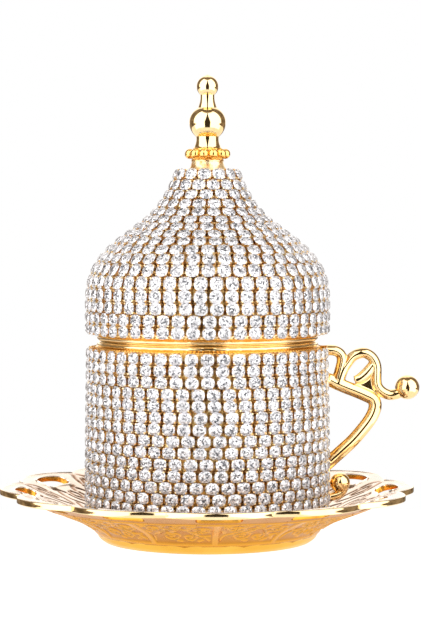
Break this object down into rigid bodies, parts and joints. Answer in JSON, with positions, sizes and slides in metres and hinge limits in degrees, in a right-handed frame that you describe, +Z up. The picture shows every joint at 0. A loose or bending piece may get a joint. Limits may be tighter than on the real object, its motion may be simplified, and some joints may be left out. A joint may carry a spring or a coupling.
{
  "type": "coffee cup and saucer",
  "caption": "Coffee cup in a jewelled gold-plated holder with scroll handle and domed lid, standing on a scalloped saucer; holder, porcelain cup and lid lift off.",
  "frame": {"origin": "centre of the saucer's foot, on the table", "axes": "+Z up along the axis of the cup, +X towards the handle"},
  "size_m": [0.1104, 0.1088, 0.1217],
  "materials": {
    "gold_plate": "polished gold plating, satin in the relief",
    "brilliants": "foiled brilliant-cut glass stones in small metal settings",
    "porcelain": "white gloss glaze",
    "steel": "plain fastener"
  },
  "bodies": {
    "saucer": {"saucer": "gold_plate"},
    "holder": {"cup_holder": "gold_plate", "handle": "gold_plate", "handle_screw_upper": "steel", "handle_screw_lower": "steel", "cup_strand_01": "brilliants", "cup_strand_02": "brilliants", "cup_strand_03": "brilliants", "cup_strand_04": "brilliants", "cup_strand_05": "brilliants", "cup_strand_06": "brilliants", "cup_strand_07": "brilliants", "cup_strand_08": "brilliants", "cup_strand_09": "brilliants", "cup_strand_10": "brilliants", "cup_strand_11": "brilliants", "cup_strand_12": "brilliants", "cup_strand_13": "brilliants", "cup_strand_14": "brilliants", "cup_strand_15": "brilliants"},
    "insert": {"porcelain_cup": "porcelain"},
    "lid": {"lid_shell": "gold_plate", "finial_collar": "gold_plate", "finial": "gold_plate", "finial_nut": "steel", "lid_strand_01": "brilliants", "lid_strand_02": "brilliants", "lid_strand_03": "brilliants", "lid_strand_04": "brilliants", "lid_strand_05": "brilliants", "lid_strand_06": "brilliants", "lid_strand_07": "brilliants", "lid_strand_08": "brilliants", "lid_strand_09": "brilliants", "lid_strand_10": "brilliants", "lid_strand_11": "brilliants", "lid_strand_12": "brilliants", "lid_strand_13": "brilliants", "lid_strand_14": "brilliants", "lid_strand_15": "brilliants", "lid_strand_16": "brilliants", "lid_strand_17": "brilliants"}
  },
  "joints": [
    {"name": "cup_lift", "type": "slide", "parent": "saucer", "child": "holder", "axis": [0, 0, 1], "range_m": [0, 0.03]},
    {"name": "insert_lift", "type": "slide", "parent": "holder", "child": "insert", "axis": [0, 0, 1], "range_m": [0, 0.055]},
    {"name": "lid_lift", "type": "slide", "parent": "insert", "child": "lid", "axis": [0, 0, 1], "range_m": [0, 0.05]}
  ]
}
